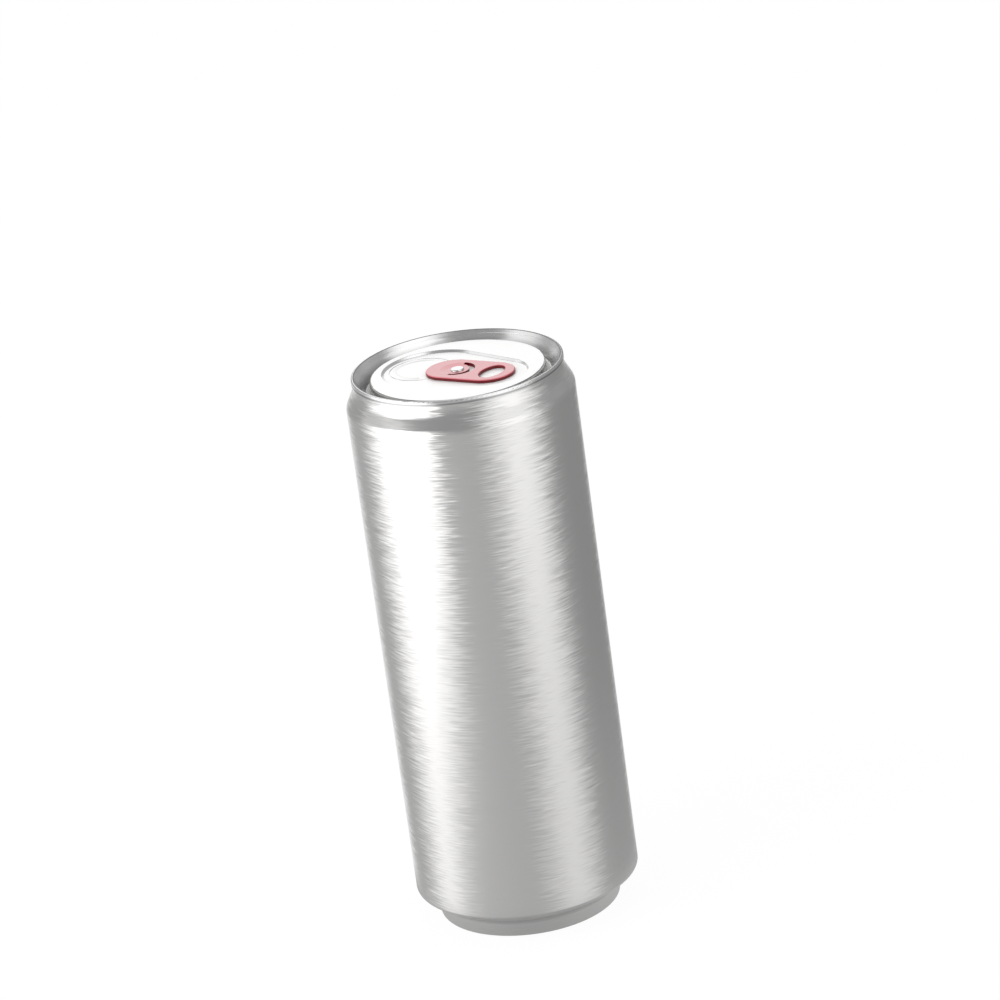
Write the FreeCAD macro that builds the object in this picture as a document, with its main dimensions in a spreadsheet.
import FreeCAD, Part
import math
import os
import Sketcher

# A sleek 330 ml beverage can: a necked body with a domed base, a seamed-on end with a sloped chuck
# wall, a countersink and a pressed-down panel, and a stay-on tab held by the end's own rivet.
# Z points up, the can stands on Z = 0 and turns about the Z axis. The tab's tail points along +X
# and the tear panel lies on the -X side. Millimetres and degrees.

DRIVING_SIZES = {
    # whole can
    "can_height": 146.0,        # standing plane to the top of the rim
    "body_radius": 28.65,       # straight wall
    # foot and chime
    "foot_inset": 5.45,         # straight wall to the foot's wall
    "foot_height": 4.0,         # standing plane to the crease under the chime
    "foot_round": 0.35,         # foot's outer lower edge
    "crease_round": 0.3,
    "chime_angle": 32.0,        # chime cone above the horizontal
    "chime_round": 0.9,         # chime to straight wall
    "bead_width": 1.5,          # foot's wall, outside to inside
    "bead_round": 0.5,          # foot's inner lower edge
    "dome_wall": 2.6,           # height of the wall inside the foot
    "dome_taper": 0.4,          # how far that wall leans in
    "dome_height": 10.2,        # standing plane to the middle of the dome
    "dome_round": 1.2,          # dome to the wall inside the foot
    # neck
    "neck_inset": 2.3,          # straight wall to the throat under the seam
    "neck_angle": 27.3,         # neck cone from the vertical
    "neck_straight": 0.15,      # throat between the seam and the neck's curve
    "neck_round": 6.5,          # hollow curve under the seam
    "shoulder_round": 3.2,      # full curve onto the straight wall
    # seam
    "seam_overhang": 0.21,      # seam outside the throat
    "seam_height": 1.35,
    "seam_width": 1.1,
    "crown_round": 0.5,         # both edges of the rim's top
    "hem_round": 0.12,          # seam's lower outer edge
    # end
    "gauge": 0.25,              # sheet of the end
    "lip_drop": 0.9,            # rim's top down to the chuck wall
    "lip_round": 0.5,
    "wall_angle": 32.3,         # chuck wall from the vertical
    "sink_depth": 4.4,          # rim's top down to the countersink's floor
    "groove_width": 1.25,       # countersink's floor
    "groove_round": 0.6,
    "panel_depth": 1.4,         # rim's top down to the panel
    "panel_round": 0.4,
    # pressed-down, drop-shaped field of the panel
    "drop_depth": 0.65,
    "drop_slope": 42.0,         # its wall from the vertical
    "drop_round": 0.3,          # wall to floor
    "brink_round": 0.2,         # panel to wall
    "drop_nose_radius": 13.3,
    "drop_nose_margin": 1.9,    # field to the panel's edge, on the tear panel's side
    "drop_tail_margin": 3.0,    # field to the panel's edge, on the tail's side
    "tail_clearance": 3.3,      # field's wall to the tab's tail
    # tear panel
    "tear_radius": 8.0,         # scored circle
    "tear_margin": 1.5,         # score to the edge of the field
    "score_width": 0.3,
    "score_depth": 0.12,
    "score_turn": 310.0,        # scored part of the circle; the rest is the hinge
    "score_start": 35.0,        # middle of the hinge away from the rivet
    "bead_inset": 1.4,          # stiffening bead inside the score
    "bead_height": 0.18,
    "bead_half_width": 0.55,
    "bead_clearance": 1.95,     # bead's ends to the tab's nose
    # rivet
    "shank_radius": 1.25,
    "head_radius": 1.7,
    "head_height": 0.38,
    "head_round": 0.32,
    # tab
    "tab_thickness": 0.9,
    "tab_nose_reach": 8.2,      # rivet to the tip of the nose
    "tab_nose_radius": 6.6,
    "tab_tail_radius": 6.65,
    "tab_top_round": 0.4,
    "tab_foot_round": 0.25,
    "shank_clearance": 0.05,
    "dish_depth": 0.25,         # tab's top down to the rivet's island
    "dish_floor": 2.7,          # radius of the island's flat
    "slit_outer": 4.5,          # radius of the slit's outside, round the rivet
    "island_radius": 3.5,       # radius of the island's end
    "island_back": 0.6,         # its centre behind the rivet, towards the nose
    "slit_end": 0.3,            # slit's ends behind the rivet
    "hole_bridge": 2.65,        # slit to the finger hole
    "hole_band": 2.85,          # finger hole to the tip of the tail
    "hole_half_width": 4.35,
    "hole_round": 0.25,
}


class Size:
    """A size that knows its spreadsheet expression and its present value."""

    def __init__(self, text, value):
        self.text = text
        self.value = value

    def __add__(self, other):
        return join(self, "+", other, self.value + number(other))

    def __sub__(self, other):
        return join(self, "-", other, self.value - number(other))

    def __mul__(self, other):
        return join(self, "*", other, self.value * number(other))

    def __truediv__(self, other):
        return join(self, "/", other, self.value / number(other))

    def __neg__(self):
        return Size(f"(0 - {self.text})", -self.value)


def number(item):
    return item.value if isinstance(item, Size) else item


def words(item):
    return item.text if isinstance(item, Size) else repr(item)


def join(left, sign, right, value):
    return Size(f"({left.text} {sign} {words(right)})", value)


def tangent(angle):
    return Size(f"tan({angle.text})", math.tan(math.radians(angle.value)))


def arc_cosine(ratio):
    return Size(f"acos({ratio.text})", math.degrees(math.acos(ratio.value)))


def make_sheet(doc):
    """Writes the driving sizes into the spreadsheet and returns them by name."""
    sheet = doc.addObject("Spreadsheet::Sheet", "sizes")
    sizes = {}
    for row, (name, value) in enumerate(DRIVING_SIZES.items(), start=1):
        sheet.set(f"A{row}", name)
        sheet.set(f"B{row}", str(value))
        sheet.setAlias(f"B{row}", name)
        sizes[name] = Size(f"sizes.{name}", value)
    doc.recompute()
    return sizes


class Sizes:
    """The driving sizes and every place worked out from them."""

    def __init__(self, driving):
        self.__dict__.update(driving)
        self.zero = Size("0", 0.0)
        # radii from the outside in
        self.foot_radius = self.body_radius - self.foot_inset
        self.bead_inner = self.foot_radius - self.bead_width
        self.neck_radius = self.body_radius - self.neck_inset
        self.rim_radius = self.neck_radius + self.seam_overhang
        self.rim_inner = self.rim_radius - self.seam_width
        self.flange_radius = self.rim_radius - self.gauge
        # heights from the rim down
        self.seam_bottom = self.can_height - self.seam_height
        self.lip_level = self.can_height - self.lip_drop
        self.sink_level = self.can_height - self.sink_depth
        self.panel_level = self.can_height - self.panel_depth
        self.floor_level = self.panel_level - self.drop_depth
        self.sheet_level = self.panel_level - self.gauge
        # end
        self.sink_outer = self.rim_inner - (self.lip_level - self.sink_level) * tangent(self.wall_angle)
        self.panel_radius = self.sink_outer - self.groove_width
        # drop-shaped field
        self.drop_nose = self.panel_radius - self.drop_nose_margin - self.drop_nose_radius
        self.drop_tail_radius = self.tab_tail_radius + self.tail_clearance
        self.drop_tail = self.panel_radius - self.drop_tail_margin - self.drop_tail_radius
        # tear panel
        self.tear_middle = self.drop_nose + self.drop_nose_radius - self.tear_margin - self.tear_radius
        self.tear_bead_radius = self.tear_radius - self.bead_inset
        # tab
        self.tab_top = self.floor_level + self.tab_thickness
        self.island_level = self.tab_top - self.dish_depth
        self.tab_nose = self.tab_nose_reach - self.tab_nose_radius
        self.tab_tail = self.drop_tail
        self.hole_start = self.slit_outer + self.hole_bridge
        self.hole_end = self.tab_tail + self.tab_tail_radius - self.hole_band
        # rivet
        self.head_top = self.island_level + self.head_height
        self.bead_turn = self.turn_short_of_the_nose()

    def turn_short_of_the_nose(self):
        """The stiffening bead's turn, which stops both its ends at their clearance from the tab's nose."""
        apart = self.tear_middle - self.tab_nose
        reach = self.tab_nose_radius + self.bead_clearance
        radius = self.tear_bead_radius
        opposite = radius * radius + apart * apart - reach * reach
        return Size("360 deg", 360.0) - arc_cosine(opposite / (radius * apart * 2)) * 2

    def under_the_end(self):
        """Corners of the end's underside from the rim to the middle, shared by the end and the body."""
        half_wall = self.wall_angle / 2
        past_sink = self.gauge * tangent(Size("45", 45.0) - half_wall)
        lip_under = self.lip_level - self.gauge * tangent(half_wall)
        outer_round = self.groove_round + self.gauge
        return [
            (self.flange_radius, self.seam_bottom, None),
            (self.flange_radius, self.can_height - self.gauge, None),
            (self.rim_inner + self.gauge, self.can_height - self.gauge, None),
            (self.rim_inner + self.gauge, lip_under, None),
            (self.sink_outer + past_sink, self.sink_level - self.gauge, outer_round),
            (self.panel_radius - self.gauge, self.sink_level - self.gauge, outer_round),
            (self.panel_radius - self.gauge, self.sheet_level, None),
            (self.zero, self.sheet_level, None),
        ]


def origin_plane(body, role):
    return next(item for item in body.Origin.OriginFeatures if item.Role == role)


def new_sketch(body, role, name):
    sketch = body.newObject("Sketcher::SketchObject", name)
    sketch.AttachmentSupport = (origin_plane(body, role), "")
    sketch.MapMode = "FlatFace"
    return sketch


def plan_sketch(body, name, level):
    """A horizontal sketch at the given height."""
    sketch = new_sketch(body, "XY_Plane", name)
    sketch.AttachmentOffset.Base.z = level.value
    sketch.setExpression("AttachmentOffset.Base.z", level.text)
    return sketch


def add_bound(sketch, kind, references, size):
    """Adds a dimension to the sketch and binds it to the size."""
    index = sketch.addConstraint(Sketcher.Constraint(kind, *references, size.value))
    sketch.setExpression(f"Constraints[{index}]", size.text)


ORIGIN = (-1, 1)
X_AXIS = -1
Y_AXIS = -2


def place_point(sketch, item, corner, across, up):
    """Fixes one point of the sketch by its two distances from the origin."""
    if across.value == 0:
        sketch.addConstraint(Sketcher.Constraint("PointOnObject", item, corner, Y_AXIS))
    else:
        add_bound(sketch, "DistanceX", (*ORIGIN, item, corner), across)
    if up.value == 0:
        sketch.addConstraint(Sketcher.Constraint("PointOnObject", item, corner, X_AXIS))
    else:
        add_bound(sketch, "DistanceY", (*ORIGIN, item, corner), up)


def corner_arc(before, corner, after, radius):
    """Arc that rounds a corner, and whether its start lies on the side that comes before."""
    towards_before = (before - corner).normalize()
    towards_after = (after - corner).normalize()
    half = towards_before.getAngle(towards_after) / 2
    reach = radius / math.tan(half)
    first = corner + towards_before * reach
    last = corner + towards_after * reach
    middle = corner + (towards_before + towards_after).normalize() * (radius / math.sin(half))
    start = math.atan2(first.y - middle.y, first.x - middle.x)
    end = math.atan2(last.y - middle.y, last.x - middle.x)
    turns_left = (towards_before.cross(towards_after)).z < 0
    if not turns_left:
        start, end = end, start
    circle = Part.Circle(middle, FreeCAD.Vector(0, 0, 1), radius)
    return Part.ArcOfCircle(circle, start, end), turns_left, first, last


def draw_profile(sketch, corners):
    """Draws a closed outline through the corners (across, up, rounding or None), fully bound."""
    spots = [FreeCAD.Vector(across.value, up.value, 0) for across, up, _ in corners]
    count = len(corners)
    starts, ends, arcs = list(spots), list(spots), {}
    for index, (_, _, rounding) in enumerate(corners):
        if rounding is not None:
            after = spots[(index + 1) % count]
            arc = corner_arc(spots[index - 1], spots[index], after, rounding.value)
            arcs[index] = arc
            ends[index], starts[index] = arc[2], arc[3]
    lines = []
    for index in range(count):
        segment = Part.LineSegment(starts[index], ends[(index + 1) % count])
        lines.append(sketch.addGeometry(segment, False))
    for index, (across, up, rounding) in enumerate(corners):
        before, after = lines[index - 1], lines[index]
        if rounding is None:
            sketch.addConstraint(Sketcher.Constraint("Coincident", before, 2, after, 1))
            place_point(sketch, after, 1, across, up)
            continue
        curve, turns_left, _, _ = arcs[index]
        arc = sketch.addGeometry(curve, False)
        spot = sketch.addGeometry(Part.Point(spots[index]), True)
        arc_in, arc_out = (1, 2) if turns_left else (2, 1)
        place_point(sketch, spot, 1, across, up)
        sketch.addConstraint(Sketcher.Constraint("PointOnObject", spot, 1, before))
        sketch.addConstraint(Sketcher.Constraint("PointOnObject", spot, 1, after))
        sketch.addConstraint(Sketcher.Constraint("Tangent", before, 2, arc, arc_in))
        sketch.addConstraint(Sketcher.Constraint("Tangent", arc, arc_out, after, 1))
        add_bound(sketch, "Radius", (arc,), rounding)


def draw_egg(sketch, nose, nose_radius, tail, tail_radius):
    """Draws two arcs centred on the X axis, at -nose and +tail, and the two lines that touch both."""
    up = FreeCAD.Vector(0, 0, 1)
    lean = math.acos((nose_radius.value - tail_radius.value) / (nose.value + tail.value))
    nose_circle = Part.Circle(FreeCAD.Vector(-nose.value, 0, 0), up, nose_radius.value)
    tail_circle = Part.Circle(FreeCAD.Vector(tail.value, 0, 0), up, tail_radius.value)
    nose_arc = Part.ArcOfCircle(nose_circle, lean, 2 * math.pi - lean)
    tail_arc = Part.ArcOfCircle(tail_circle, -lean, lean)
    outline = [
        nose_arc,
        Part.LineSegment(nose_arc.EndPoint, tail_arc.StartPoint),
        tail_arc,
        Part.LineSegment(tail_arc.EndPoint, nose_arc.StartPoint),
    ]
    first, side, last, other_side = [sketch.addGeometry(item, False) for item in outline]
    for before, after in ((first, side), (side, last), (last, other_side), (other_side, first)):
        sketch.addConstraint(Sketcher.Constraint("Tangent", before, 2, after, 1))
    for arc, centre, radius in ((first, -nose, nose_radius), (last, tail, tail_radius)):
        sketch.addConstraint(Sketcher.Constraint("PointOnObject", arc, 3, X_AXIS))
        add_bound(sketch, "DistanceX", (*ORIGIN, arc, 3), centre)
        add_bound(sketch, "Radius", (arc,), radius)


def turn(body, kind, name, sketch, degrees=None):
    """Turns a sketch about its own vertical axis, to add or to cut."""
    feature = body.newObject(kind, name)
    feature.Profile = sketch
    feature.ReferenceAxis = (sketch, ["V_Axis"])
    if degrees is not None:
        feature.setExpression("Angle", degrees.text)
        feature.Midplane = True
    sketch.Visibility = False
    return feature


def raise_or_cut(body, kind, name, sketch, depth, reverse=False):
    """Pads or pockets a sketch by a depth."""
    feature = body.newObject(kind, name)
    feature.Profile = sketch
    feature.setExpression("Length", depth.text)
    feature.Reversed = reverse
    sketch.Visibility = False
    return feature


def round_edges(body, name, base, picked, radius):
    """Rounds the picked edges of the feature that comes before."""
    fillet = body.newObject("PartDesign::Fillet", name)
    fillet.Base = (base, picked)
    fillet.setExpression("Radius", radius.text)
    return fillet


NEAR = 1e-4


def edges_at_level(feature, level):
    """Names of the edges that lie flat at a level."""
    picked = []
    for index, edge in enumerate(feature.Shape.Edges, start=1):
        box = edge.BoundBox
        if abs(box.ZMin - level.value) < NEAR and abs(box.ZMax - level.value) < NEAR:
            picked.append(f"Edge{index}")
    return picked


def ring_edges(feature, radius, level):
    """Names of the circles with a radius and a level."""
    picked = []
    for name in edges_at_level(feature, level):
        curve = feature.Shape.getElement(name).Curve
        if isinstance(curve, Part.Circle) and abs(curve.Radius - radius.value) < NEAR:
            picked.append(name)
    return picked


def oval_edges(feature, level):
    """Names of the ellipses at a level."""
    names = edges_at_level(feature, level)
    return [name for name in names if isinstance(feature.Shape.getElement(name).Curve, Part.Ellipse)]


def make_body(doc, z):
    """The closed, full can below its end: foot, chime, wall, neck and the flange inside the seam."""
    body = doc.addObject("PartDesign::Body", "can_body")
    neck_corner = z.seam_bottom - z.neck_straight - z.neck_round * tangent(z.neck_angle / 2)
    shoulder = neck_corner - z.neck_inset / tangent(z.neck_angle)
    chime = z.foot_height + z.foot_inset * tangent(z.chime_angle)
    outline = new_sketch(body, "XZ_Plane", "body_outline")
    draw_profile(outline, [
        (z.zero, z.zero, None),
        (z.foot_radius, z.zero, z.foot_round),
        (z.foot_radius, z.foot_height, z.crease_round),
        (z.body_radius, chime, z.chime_round),
        (z.body_radius, shoulder, z.shoulder_round),
        (z.neck_radius, neck_corner, z.neck_round),
        (z.neck_radius, z.seam_bottom, None),
        *z.under_the_end(),
    ])
    turn(body, "PartDesign::Revolution", "body_turned", outline)
    doc.recompute()

    dome = new_sketch(body, "XZ_Plane", "dome_outline")
    draw_dome(dome, z)
    hollow = turn(body, "PartDesign::Groove", "dome_hollow", dome)
    doc.recompute()
    standing_edge = ring_edges(hollow, z.bead_inner, z.zero)
    round_edges(body, "bead_rounded", hollow, standing_edge, z.bead_round)

    # room for the pressed-down field of the end
    field = plan_sketch(body, "field_outline", z.sheet_level)
    draw_egg(field, z.drop_nose, z.drop_nose_radius + z.gauge,
             z.drop_tail, z.drop_tail_radius + z.gauge)
    raise_or_cut(body, "PartDesign::Pocket", "field_room", field, z.drop_depth)
    return body


def draw_dome(sketch, z):
    """Half section of the hollow inside the foot: a leaning wall, a rounded corner and the dome."""
    edge = z.bead_inner - z.dome_taper
    rise = z.dome_height - z.dome_wall
    radius = (edge.value ** 2 + rise.value ** 2) / (2 * rise.value)
    rounding = z.dome_round.value
    up = FreeCAD.Vector(0, 0, 1)
    middle = FreeCAD.Vector(0, z.dome_height.value - radius, 0)
    foot = FreeCAD.Vector(z.bead_inner.value, 0, 0)
    corner = FreeCAD.Vector(edge.value, z.dome_wall.value, 0)
    top = FreeCAD.Vector(0, z.dome_height.value, 0)
    # the rounding's centre lies as far inside the wall as inside the dome
    along = (corner - foot).normalize()
    inwards = up.cross(along)
    inset = foot + inwards * rounding - middle
    climb = math.sqrt((inset * along) ** 2 - inset * inset + (radius - rounding) ** 2) - inset * along
    pivot = middle + inset + along * climb
    wall_end = pivot - inwards * rounding
    dome_end = middle + (pivot - middle).normalize() * radius
    start = math.atan2(wall_end.y - pivot.y, wall_end.x - pivot.x)
    turn_point = math.atan2(dome_end.y - middle.y, dome_end.x - middle.x)
    outline = [
        Part.LineSegment(FreeCAD.Vector(0, 0, 0), foot),
        Part.LineSegment(foot, wall_end),
        Part.ArcOfCircle(Part.Circle(pivot, up, rounding), start, turn_point),
        Part.ArcOfCircle(Part.Circle(middle, up, radius), turn_point, math.pi / 2),
        Part.LineSegment(top, FreeCAD.Vector(0, 0, 0)),
    ]
    floor, wall, bend, dome, axis = [sketch.addGeometry(item, False) for item in outline]
    spot = sketch.addGeometry(Part.Point(corner), True)
    for before, after in ((floor, wall), (dome, axis), (axis, floor)):
        sketch.addConstraint(Sketcher.Constraint("Coincident", before, 2, after, 1))
    place_point(sketch, floor, 1, z.zero, z.zero)
    place_point(sketch, wall, 1, z.bead_inner, z.zero)
    place_point(sketch, axis, 1, z.zero, z.dome_height)
    place_point(sketch, spot, 1, edge, z.dome_wall)
    for item in (wall, dome):
        sketch.addConstraint(Sketcher.Constraint("PointOnObject", spot, 1, item))
    sketch.addConstraint(Sketcher.Constraint("PointOnObject", dome, 3, Y_AXIS))
    sketch.addConstraint(Sketcher.Constraint("Tangent", wall, 2, bend, 1))
    sketch.addConstraint(Sketcher.Constraint("Tangent", bend, 2, dome, 1))
    add_bound(sketch, "Radius", (bend,), z.dome_round)


def make_end(doc, z):
    """The end: rolled seam, chuck wall, countersink, panel with its field, score, bead and rivet."""
    body = doc.addObject("PartDesign::Body", "can_end")
    outline = new_sketch(body, "XZ_Plane", "end_outline")
    draw_profile(outline, [
        (z.zero, z.panel_level, None),
        *reversed(z.under_the_end()),
        (z.rim_radius, z.seam_bottom, z.hem_round),
        (z.rim_radius, z.can_height, z.crown_round),
        (z.rim_inner, z.can_height, z.crown_round),
        (z.rim_inner, z.lip_level, z.lip_round),
        (z.sink_outer, z.sink_level, z.groove_round),
        (z.panel_radius, z.sink_level, z.groove_round),
        (z.panel_radius, z.panel_level, z.panel_round),
    ])
    turn(body, "PartDesign::Revolution", "end_turned", outline)
    doc.recompute()

    press_field(doc, body, z)
    press_tear_panel(doc, body, z)
    raise_rivet(body, z)
    return body


def press_field(doc, body, z):
    """Presses the drop-shaped field down: the sheet bulges below and is hollowed from above."""
    below = plan_sketch(body, "field_below", z.sheet_level)
    draw_egg(below, z.drop_nose, z.drop_nose_radius + z.gauge,
             z.drop_tail, z.drop_tail_radius + z.gauge)
    raise_or_cut(body, "PartDesign::Pad", "field_bulge", below, z.drop_depth, reverse=True)
    doc.recompute()
    above = plan_sketch(body, "field_above", z.panel_level)
    draw_egg(above, z.drop_nose, z.drop_nose_radius, z.drop_tail, z.drop_tail_radius)
    field = raise_or_cut(body, "PartDesign::Pocket", "field_pressed", above, z.drop_depth)
    field.setExpression("TaperAngle", (-z.drop_slope).text)
    doc.recompute()
    foot = edges_at_level(field, z.floor_level)
    rounded = round_edges(body, "field_foot_rounded", field, foot, z.drop_round)
    doc.recompute()
    panel_edge = ring_edges(rounded, z.panel_radius - z.panel_round, z.panel_level)
    brink = [name for name in edges_at_level(rounded, z.panel_level) if name not in panel_edge]
    round_edges(body, "field_brink_rounded", rounded, brink, z.brink_round)
    doc.recompute()


def tear_sketch(body, name, z, angle):
    """An upright sketch through the middle of the tear panel, turned away from the nose."""
    sketch = new_sketch(body, "XZ_Plane", name)
    axis = FreeCAD.Vector(0, 1, 0)
    middle = FreeCAD.Vector(-z.tear_middle.value, z.floor_level.value, 0)
    sketch.AttachmentOffset = FreeCAD.Placement(middle, FreeCAD.Rotation(axis, angle.value))
    sketch.setExpression("AttachmentOffset.Base.x", (-z.tear_middle).text)
    sketch.setExpression("AttachmentOffset.Base.y", z.floor_level.text)
    sketch.setExpression("AttachmentOffset.Rotation.Angle", angle.text)
    return sketch


def press_tear_panel(doc, body, z):
    """Raises the stiffening bead and cuts the score, both part-turns about the tear panel's middle."""
    bead = tear_sketch(body, "bead_section", z, z.zero)
    bead_radius = z.tear_bead_radius
    root = -(z.gauge / 2)
    draw_profile(bead, [
        (-(bead_radius + z.bead_half_width), root, None),
        (-(bead_radius - z.bead_half_width), root, None),
        (-(bead_radius - z.bead_half_width), z.zero, None),
        (-bead_radius, z.bead_height, None),
        (-(bead_radius + z.bead_half_width), z.zero, None),
    ])
    turn(body, "PartDesign::Revolution", "tear_bead", bead, z.bead_turn)
    doc.recompute()
    score = tear_sketch(body, "score_section", z, z.score_start)
    half_width = z.score_width / 2
    draw_profile(score, [
        (-(z.tear_radius + half_width), z.score_depth, None),
        (-(z.tear_radius + half_width), z.zero, None),
        (-z.tear_radius, -z.score_depth, None),
        (-(z.tear_radius - half_width), z.zero, None),
        (-(z.tear_radius - half_width), z.score_depth, None),
    ])
    turn(body, "PartDesign::Groove", "tear_score", score, z.score_turn)
    doc.recompute()


def raise_rivet(body, z):
    """The rivet drawn up from the sheet, with its head pressed down on the tab's island."""
    section = new_sketch(body, "XZ_Plane", "rivet_section")
    draw_profile(section, [
        (z.zero, z.floor_level - z.gauge / 2, None),
        (z.shank_radius, z.floor_level - z.gauge / 2, None),
        (z.shank_radius, z.island_level, None),
        (z.head_radius, z.island_level, None),
        (z.head_radius, z.head_top, z.head_round),
        (z.zero, z.head_top, None),
    ])
    turn(body, "PartDesign::Revolution", "rivet", section)


def make_tab(doc, z):
    """The stay-on tab: a rounded lever with a finger hole and a slit that frees the rivet's island."""
    body = doc.addObject("PartDesign::Body", "pull_tab")
    outline = plan_sketch(body, "tab_outline", z.floor_level)
    draw_egg(outline, z.tab_nose, z.tab_nose_radius, z.tab_tail, z.tab_tail_radius)
    blank = raise_or_cut(body, "PartDesign::Pad", "tab_blank", outline, z.tab_thickness)
    doc.recompute()
    top = round_edges(body, "tab_top_rounded", blank, edges_at_level(blank, z.tab_top), z.tab_top_round)
    doc.recompute()
    below = edges_at_level(top, z.floor_level)
    round_edges(body, "tab_foot_rounded", top, below, z.tab_foot_round)

    dish = new_sketch(body, "XZ_Plane", "dish_section")
    above = z.tab_top + z.dish_depth
    draw_profile(dish, [
        (z.zero, z.island_level, None),
        (z.dish_floor, z.island_level, None),
        (z.slit_outer, z.tab_top, None),
        (z.slit_outer, above, None),
        (z.zero, above, None),
    ])
    turn(body, "PartDesign::Groove", "dish", dish)

    slit = plan_sketch(body, "slit_outline", z.tab_top)
    draw_slit(slit, z)
    raise_or_cut(body, "PartDesign::Pocket", "slit", slit, z.tab_thickness)

    bore = plan_sketch(body, "shank_hole_outline", z.tab_top)
    circle = Part.Circle(FreeCAD.Vector(0, 0, 0), FreeCAD.Vector(0, 0, 1), z.shank_radius.value)
    ring = bore.addGeometry(circle, False)
    bore.addConstraint(Sketcher.Constraint("Coincident", ring, 3, *ORIGIN))
    add_bound(bore, "Radius", (ring,), z.shank_radius + z.shank_clearance)
    raise_or_cut(body, "PartDesign::Pocket", "shank_hole", bore, z.tab_thickness)

    finger = plan_sketch(body, "finger_hole_outline", z.tab_top)
    draw_finger_hole(finger, z)
    hole = raise_or_cut(body, "PartDesign::Pocket", "finger_hole", finger, z.tab_thickness)
    doc.recompute()
    brinks = oval_edges(hole, z.tab_top) + oval_edges(hole, z.floor_level)
    round_edges(body, "finger_hole_rounded", hole, brinks, z.hole_round)
    return body


def draw_slit(sketch, z):
    """A crescent round the tail's side of the rivet, between the island and the rest of the tab."""
    up = FreeCAD.Vector(0, 0, 1)
    corners = []
    for centre, radius in ((0.0, z.slit_outer.value), (-z.island_back.value, z.island_radius.value)):
        across = -z.slit_end.value - centre
        reach = math.acos(across / radius)
        circle = Part.Circle(FreeCAD.Vector(centre, 0, 0), up, radius)
        corners.append(Part.ArcOfCircle(circle, -reach, reach))
    outer_arc, inner_arc = corners
    outer = sketch.addGeometry(outer_arc, False)
    inner = sketch.addGeometry(inner_arc, False)
    low = sketch.addGeometry(Part.LineSegment(inner_arc.StartPoint, outer_arc.StartPoint), False)
    high = sketch.addGeometry(Part.LineSegment(outer_arc.EndPoint, inner_arc.EndPoint), False)
    joints = ((inner, 1, low, 1), (low, 2, outer, 1), (outer, 2, high, 1), (high, 2, inner, 2))
    for joint in joints:
        sketch.addConstraint(Sketcher.Constraint("Coincident", *joint))
    place_point(sketch, outer, 3, z.zero, z.zero)
    place_point(sketch, inner, 3, -z.island_back, z.zero)
    add_bound(sketch, "Radius", (outer,), z.slit_outer)
    add_bound(sketch, "Radius", (inner,), z.island_radius)
    for arc, corner in ((outer, 1), (outer, 2), (inner, 1), (inner, 2)):
        add_bound(sketch, "DistanceX", (*ORIGIN, arc, corner), -z.slit_end)


def draw_finger_hole(sketch, z):
    """An oval across the tab, as long as its bridge and its band leave it."""
    middle = (z.hole_start + z.hole_end) / 2
    half_length = (z.hole_end - z.hole_start) / 2
    centre = FreeCAD.Vector(middle.value, 0, 0)
    far_side = centre + FreeCAD.Vector(0, z.hole_half_width.value, 0)
    tail_side = centre + FreeCAD.Vector(half_length.value, 0, 0)
    oval = sketch.addGeometry(Part.Ellipse(far_side, tail_side, centre), False)
    place_point(sketch, oval, 3, middle, z.zero)
    sketch.exposeInternalGeometry(oval)
    long_line, short_line = oval + 1, oval + 2
    sketch.addConstraint(Sketcher.Constraint("Vertical", long_line))
    add_bound(sketch, "Distance", (long_line,), z.hole_half_width * 2)
    add_bound(sketch, "Distance", (short_line,), half_length * 2)


def check_document(doc):
    """Stops if any object of the document failed to build."""
    for item in doc.Objects:
        if "Invalid" in item.State or "Error" in item.State:
            raise RuntimeError(f"{item.Name} failed: {item.State}")


def export(doc, body):
    shape = body.Shape
    if shape.isNull() or not shape.isValid():
        raise RuntimeError(f"{body.Label} has no valid shape")
    shape.exportStep(os.path.join("parts", f"{body.Label}.step"))


def main():
    os.makedirs("parts", exist_ok=True)
    doc = FreeCAD.newDocument("beverage_can")
    places = Sizes(make_sheet(doc))
    bodies = [make_body(doc, places), make_end(doc, places), make_tab(doc, places)]
    doc.recompute()
    check_document(doc)
    for body in bodies:
        export(doc, body)


main()
